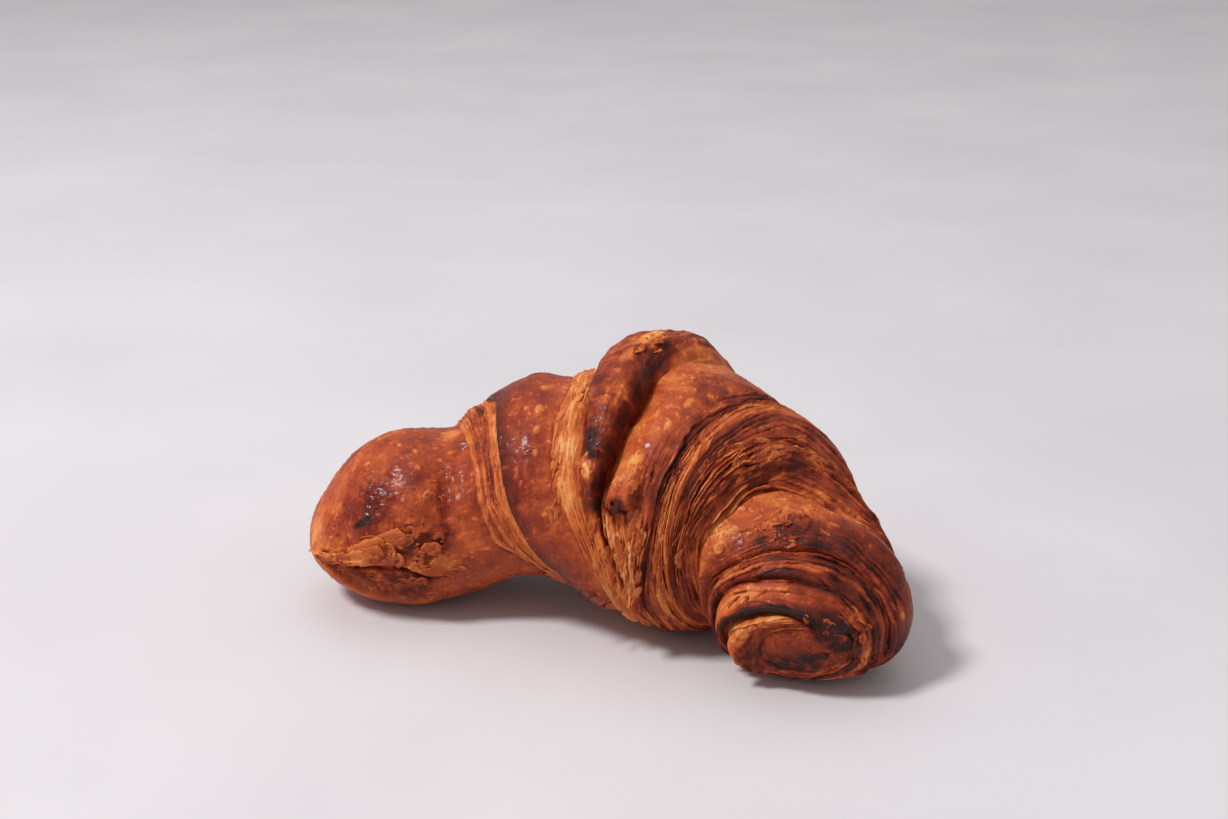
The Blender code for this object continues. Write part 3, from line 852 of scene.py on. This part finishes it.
def new_mesh(name, points, faces, values=None):
    """An object from points in millimetres, closed and smooth, with its point values."""
    mesh = bpy.data.meshes.new(name)
    mesh.from_pydata((points * MM).tolist(), [], faces)
    mesh.shade_smooth()
    for key, value in (values or {}).items():
        if value.ndim == 2:
            layer = mesh.attributes.new(key, "FLOAT_VECTOR", "POINT")
            layer.data.foreach_set("vector", value.astype(np.float32).ravel())
        else:
            layer = mesh.attributes.new(key, "FLOAT", "POINT")
            layer.data.foreach_set("value", value.astype(np.float32))
    piece = bpy.data.objects.new(name, mesh)
    bpy.context.scene.collection.objects.link(piece)
    return piece


def tube_faces(columns, rows):
    """Quads between the rings of a closed tube, with a fan at each end."""
    index = np.arange(columns * rows).reshape(columns, rows)
    beside = np.roll(index, -1, axis=1)
    quads = np.stack([index[:-1], beside[:-1], beside[1:], index[1:]], -1).reshape(-1, 4)
    first, last = columns * rows, columns * rows + 1
    fans = [(first, int(beside[0, i]), int(index[0, i])) for i in range(rows)]
    fans += [(last, int(index[-1, i]), int(beside[-1, i])) for i in range(rows)]
    return quads.tolist() + fans


def way_along(along, outward):
    """The direction along the roll, in the surface."""
    heading = spine(along)[2]
    forward = np.array([math.cos(heading), math.sin(heading), 0.0])
    forward -= outward * (forward @ outward)
    return forward / np.linalg.norm(forward)


def flake_shape(centre, outward, forward, size, curl, seed):
    """One scrap: its points and what it looks like, as two skins of a thin shell."""
    u, v = np.meshgrid(np.linspace(-1, 1, FLAKE_LONG), np.linspace(-1, 1, FLAKE_WIDE),
                       indexing="ij")
    noise_at = np.stack([u * 1.6 + seed * 3.7, v * 0.9, 0 * u + 0.31 * seed], -1)
    uneven = clouds(noise_at, 1.0, 900 + seed, 2)
    ragged = lumps(np.stack([u * 5.3, np.sign(v) + seed, 0 * u], -1), 950 + seed)
    taper = np.clip(1.03 - np.abs(u) ** 3.0, 0.03, 1) ** 0.6 * (1 + 0.5 * uneven + 0.5 * ragged)
    sideways = np.cross(outward, forward)
    lift = curl * ((v + 1) / 2) ** 1.7 + 0.18 * size[1] * uneven - FLAKE_SUNK
    jag = 0.12 * lumps(np.stack([v * 2.9, np.sign(u) + seed, 0 * u], -1), 970 + seed)
    middle = (centre + forward * ((u + jag) * size[0] / 2)[..., None]
              + sideways * (v * size[1] / 2 * taper)[..., None]
              + outward * lift[..., None])
    skins = np.stack([middle, middle - outward * FLAKE_THICK])
    edge = np.clip((v + 1) / 2, 0, 1)
    return skins, np.stack([edge, edge])


def flake_faces():
    """Faces of one scrap's two skins and the rim that joins them."""
    index = np.arange(2 * FLAKE_LONG * FLAKE_WIDE).reshape(2, FLAKE_LONG, FLAKE_WIDE)
    top, bottom = index
    faces = np.stack([top[:-1, :-1], top[1:, :-1], top[1:, 1:], top[:-1, 1:]], -1)
    under = np.stack([bottom[:-1, :-1], bottom[:-1, 1:], bottom[1:, 1:], bottom[1:, :-1]], -1)
    ring = [np.concatenate([side[:, 0], side[-1, 1:], side[-2::-1, -1], side[0, -2:0:-1]])
            for side in (top, bottom)]
    rim = np.stack([ring[0], ring[1], np.roll(ring[1], -1), np.roll(ring[0], -1)], -1)
    return np.concatenate([faces.reshape(-1, 4), under.reshape(-1, 4), rim])


def loose_flakes(name, beds):
    """Scraps of crust that lie on the pieces, all in one mesh."""
    chance = random.Random(FLAKE_SEED)
    faces = flake_faces()
    points, bake, everything = [], [], []
    for bed, (along, angle), spread, count, length, width, curl, tone, way in LOOSE:
        lengths, angles, places, outwards = beds[bed]
        for _ in range(count):
            here = along + spread[0] * chance.uniform(-1, 1)
            turn = angle + spread[1] * chance.uniform(-1, 1)
            apart = (lengths - here) ** 2 + (np.radians(angles - turn) * ROLL_RADIUS) ** 2
            spot = np.unravel_index(np.argmin(apart), apart.shape)
            outward = outwards[spot]
            forward = way_along(here, outward)
            swing = math.radians(way + chance.uniform(-FLAKE_SWING, FLAKE_SWING))
            forward = forward * math.cos(swing) + np.cross(outward, forward) * math.sin(swing)
            size = (length * chance.uniform(0.6, 1.3), width * chance.uniform(0.6, 1.4))
            skins, edge = flake_shape(places[spot], outward, forward, size,
                                      curl * chance.uniform(0.4, 1.3), len(points))
            everything.append(faces + len(points) * skins[..., 0].size)
            points.append(skins.reshape(-1, 3))
            bake.append((tone + chance.uniform(-0.12, 0.12) - 0.14 * edge).ravel())
    for (along, angle), length, way in WHISKERS:
        root = plain_roll(np.array(along, float), np.array(angle, float))
        heading = spine(along)[2] - math.pi / 2 + math.radians(way)
        out = np.array([math.cos(heading), math.sin(heading), 0.0])
        centre = root + out * (length / 2)
        skins, edge = flake_shape(centre, np.array([0.0, 0.0, 1.0]), out,
                                  (length, WHISKER_WIDTH), WHISKER_WIDTH, len(points))
        everything.append(faces + len(points) * skins[..., 0].size)
        points.append(skins.reshape(-1, 3))
        bake.append((WHISKER_BAKE - 0.1 * edge).ravel())
    points, bake = np.vstack(points), np.concatenate(bake)
    points[:, 2] = np.maximum(points[:, 2], TABLE_GAP)
    values = {"bake": bake, "gloss": np.full_like(bake, FLAKE_GLOSS),
              "fray": np.full_like(bake, FLAKE_FRAY), "grain": points}
    return new_mesh(name, points, np.vstack(everything).tolist(), values)


def tip_of(along):
    x, y, heading = spine(along)
    height = LEFT_CAP[1] if along < 0 else RIGHT_CAP[1]
    return np.array([float(x), float(y), height])


def crust_piece(name, wrap_names):
    even = np.linspace(-180, 180, ROWS, endpoint=False)
    crowd = np.degrees(ROW_CROWDING * np.sin(np.radians(even - CROWDED_ANGLE)))
    fields = lay_out(wrap_names, even - crowd)
    points, outward = stand_off(fields)
    columns = len(points)
    ends = []
    for column, tip, whole in ((0, LEFT_TIP, wrap_names[0] == FIRST_WRAP),
                               (-1, RIGHT_TIP, wrap_names[-1] == LAST_WRAP)):
        ends.append(tip_of(tip) if whole else points[column].mean(axis=0))
    grain = np.stack([fields["along"], np.radians(fields["angle"]) * ROLL_RADIUS,
                      fields["fray"]], -1)
    flat = {key: fields[key].ravel() for key in ("bake", "gloss", "fray")}
    values = {key: np.append(value, (value[0], value[-1])) for key, value in flat.items()}
    values["grain"] = np.vstack([grain.reshape(-1, 3), grain[0, :1], grain[-1, :1]])
    everything = np.vstack([points.reshape(-1, 3)] + [end[None, :] for end in ends])
    bed = (fields["along"] + fields["lean"], fields["angle"], points, outward)
    return new_mesh(name, everything, tube_faces(columns, ROWS), values), bed


# ---------------------------------------------------------------- materials

class Socket:
    """A node's output that adds Math nodes when it is used in a sum."""

    def __init__(self, paint, link):
        self.paint = paint
        self.link = link

    def math(self, operation, *values):
        return self.paint.node("ShaderNodeMath", {"operation": operation},
                               {i: v for i, v in enumerate(values)})

    def __add__(self, other):
        return self.math("ADD", self, other)

    def __radd__(self, other):
        return self.math("ADD", other, self)

    def __sub__(self, other):
        return self.math("SUBTRACT", self, other)

    def __rsub__(self, other):
        return self.math("SUBTRACT", other, self)

    def __mul__(self, other):
        return self.math("MULTIPLY", self, other)

    def __rmul__(self, other):
        return self.math("MULTIPLY", other, self)


class Paint:
    """One material under construction."""

    def __init__(self, name):
        self.material = bpy.data.materials.new(name)
        self.material.use_nodes = True
        self.tree = self.material.node_tree
        self.shader = self.tree.nodes["Principled BSDF"]

    def node(self, kind, settings, inputs, output=0):
        """Adds a node: its settings first, then the values or links of its sockets."""
        made = self.tree.nodes.new(kind)
        for key, value in settings.items():
            if key == "stops":
                ramp = made.color_ramp
                while len(ramp.elements) < len(value):
                    ramp.elements.new(0.5)
                for element, (place, colour) in zip(ramp.elements, value):
                    element.position = place
                    element.color = (*colour, 1.0)
            else:
                setattr(made, key, value)
        self.join(made, inputs)
        return Socket(self, made.outputs[output])

    def join(self, made, inputs):
        for key, value in inputs.items():
            if isinstance(value, Socket):
                self.tree.links.new(value.link, made.inputs[key])
            else:
                made.inputs[key].default_value = value

    def finish(self, inputs):
        self.join(self.shader, inputs)
        return self.material


# Browning, from raw-pale flakes to burnt edges; painted light and shade on the crust take their
# colours from it too.
BROWNING = (
    (0.00, (0.78, 0.42, 0.17)),
    (0.14, (0.73, 0.29, 0.085)),
    (0.30, (0.61, 0.175, 0.042)),
    (0.45, (0.44, 0.090, 0.024)),
    (0.60, (0.26, 0.042, 0.015)),
    (0.76, (0.140, 0.022, 0.010)),
    (0.90, (0.066, 0.015, 0.010)),
    (1.00, (0.032, 0.014, 0.012)),
)

GLOSSY_TINT = (1.0, 0.72, 0.82)     # glazed dough browns redder
GRAIN_STRETCH = (1.6, 0.14, 1.0)    # streaks are drawn out round the roll
STREAK_SCALE = 1.3
MOTTLE_SCALE = 420.0
SPECK_SCALE = 1500.0
RELIEF_DEPTH = 0.00035


def crust_material():
    paint = Paint("browned_crust")
    # browning, with painted light and shade in places, read from the points
    bake = paint.node("ShaderNodeAttribute", {"attribute_name": "bake"}, {}, "Fac")
    gloss = paint.node("ShaderNodeAttribute", {"attribute_name": "gloss"}, {}, "Fac")
    fray = paint.node("ShaderNodeAttribute", {"attribute_name": "fray"}, {}, "Fac")
    grain = paint.node("ShaderNodeAttribute", {"attribute_name": "grain"}, {}, "Vector")
    place = paint.node("ShaderNodeTexCoord", {}, {}, "Object")
    drawn = paint.node("ShaderNodeVectorMath", {"operation": "MULTIPLY"},
                       {0: grain, 1: GRAIN_STRETCH})
    streak = paint.node("ShaderNodeTexNoise", {"noise_dimensions": "3D"},
                        {"Vector": drawn, "Scale": STREAK_SCALE, "Detail": 5.0, "Roughness": 0.62})
    mottle = paint.node("ShaderNodeTexNoise", {"noise_dimensions": "3D"},
                        {"Vector": place, "Scale": MOTTLE_SCALE, "Detail": 5.0,
                         "Roughness": 0.65})
    speck = paint.node("ShaderNodeTexNoise", {"noise_dimensions": "3D"},
                       {"Vector": place, "Scale": SPECK_SCALE, "Detail": 2.0,
                        "Roughness": 0.5})
    streaky = (streak - 0.5) * (0.16 + fray * 0.34)
    mottled = (mottle - 0.5) * 0.34 + (speck - 0.5) * 0.16
    colour = paint.node("ShaderNodeValToRGB", {"stops": BROWNING},
                        {"Fac": bake + streaky + mottled})
    redder = paint.node("ShaderNodeVectorMath", {"operation": "MULTIPLY"},
                        {0: colour, 1: GLOSSY_TINT})
    colour = paint.node("ShaderNodeMix", {"data_type": "RGBA"},
                        {0: gloss * 0.8 + 0.08, 6: colour, 7: redder}, 2)
    patchy = paint.node("ShaderNodeMapRange", {"clamp": True},
                        {0: mottle, 1: 0.42, 2: 0.62, 3: 0.15, 4: 1.0})
    rough = 0.66 - gloss * 0.34 + (mottle - 0.5) * 0.3
    relief = streak * (0.3 + fray * 0.9) + mottle * 0.5 + speck * 0.22
    bump = paint.node("ShaderNodeBump", {},
                      {"Strength": 0.55, "Distance": RELIEF_DEPTH, "Height": relief})
    return paint.finish({"Base Color": colour, "Roughness": rough, "Normal": bump,
                         "Specular IOR Level": 0.12,
                         "Coat Weight": gloss * patchy * 0.45, "Coat Roughness": 0.16,
                         "Subsurface Weight": 0.08, "Subsurface Scale": 0.0015})

TABLE_TONES = ((0.3, (0.66, 0.625, 0.65)), (0.7, (0.72, 0.685, 0.705)))
TABLE_CLOUD_SCALE = 9.0


def table_material():
    paint = Paint("pale_table")
    place = paint.node("ShaderNodeTexCoord", {}, {}, "Object")
    cloud = paint.node("ShaderNodeTexNoise", {"noise_dimensions": "3D"},
                       {"Vector": place, "Scale": TABLE_CLOUD_SCALE, "Detail": 3.0,
                        "Roughness": 0.5})
    colour = paint.node("ShaderNodeValToRGB", {"stops": TABLE_TONES}, {"Fac": cloud})
    return paint.finish({"Base Color": colour, "Roughness": 0.6})


# ---------------------------------------------------------------- table, camera, lamps

# The camera stands this far off, this far round to the right and this high over the
# point it is placed from, and looks a little to the side of that point and over it.
CAMERA_DISTANCE = 0.470
CAMERA_AZIMUTH = 20.0
CAMERA_RISE = 27.0
CAMERA_TURN = 20.67
CAMERA_TILT = 20.5
LENS_MM, SENSOR_MM = 50.0, 36.0
AIM = (0.0041, -0.0039)
LAMP_AIM_HEIGHT = 0.03
TABLE_HALF = 1500
WORLD_STRENGTH = 0.4
# Each lamp: its place as the camera sees it, its size in metres and its power.
LAMPS = {"window": ((-0.85, -0.35, 1.35), 0.32, 20.0),
         "room": ((0.0, 0.8, 1.8), 1.9, 6.5)}


def along_view(right, back, up):
    """A place given from the croissant: right and back as the camera sees them."""
    turn = math.radians(CAMERA_AZIMUTH)
    return (AIM[0] + right * math.cos(turn) - back * math.sin(turn),
            AIM[1] + right * math.sin(turn) + back * math.cos(turn), up)


def make_camera():
    lens = bpy.data.cameras.new("view")
    lens.lens = LENS_MM
    lens.sensor_width = SENSOR_MM
    camera = bpy.data.objects.new("view", lens)
    rise = math.radians(CAMERA_RISE)
    camera.location = along_view(0, -CAMERA_DISTANCE * math.cos(rise),
                                 CAMERA_DISTANCE * math.sin(rise))
    camera.rotation_euler = (math.radians(90 - CAMERA_TILT), 0, math.radians(CAMERA_TURN))
    bpy.context.scene.collection.objects.link(camera)
    bpy.context.scene.camera = camera


def soft_lamp(name, place, size, power):
    """A square lamp that faces the croissant."""
    light = bpy.data.lights.new(name, "AREA")
    light.size = size
    light.energy = power
    lamp = bpy.data.objects.new(name, light)
    lamp.location = place
    aim = Vector((AIM[0], AIM[1], LAMP_AIM_HEIGHT)) - Vector(place)
    lamp.rotation_euler = aim.to_track_quat("-Z", "Y").to_euler()
    bpy.context.scene.collection.objects.link(lamp)


def make_stage():
    corners = [(TABLE_HALF * x, TABLE_HALF * y, 0) for x, y in ((-1, -1), (1, -1), (1, 1), (-1, 1))]
    floor = new_mesh("table", np.array(corners, float), [(0, 1, 2, 3)])
    floor.data.materials.append(table_material())
    world = bpy.data.worlds.new("room")
    world.use_nodes = True
    sky = world.node_tree.nodes["Background"].inputs
    sky["Color"].default_value = (1, 1, 1, 1)
    sky["Strength"].default_value = WORLD_STRENGTH
    bpy.context.scene.world = world
    for name, (place, size, power) in LAMPS.items():
        soft_lamp(name, along_view(*place), size, power)
    bpy.context.scene.view_settings.view_transform = "Standard"


# ---------------------------------------------------------------- assembly

def adopt(piece, material):
    piece.data.materials.append(material)
    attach(piece, "root")
    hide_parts(NODE)


def main():
    make_camera()
    make_stage()
    crust = crust_material()
    beds = {}
    for name, wrap_names in PIECES.items():
        piece, beds[name] = crust_piece(name, wrap_names)
        adopt(piece, crust)
    adopt(loose_flakes("loose_flakes", beds), crust)


main()
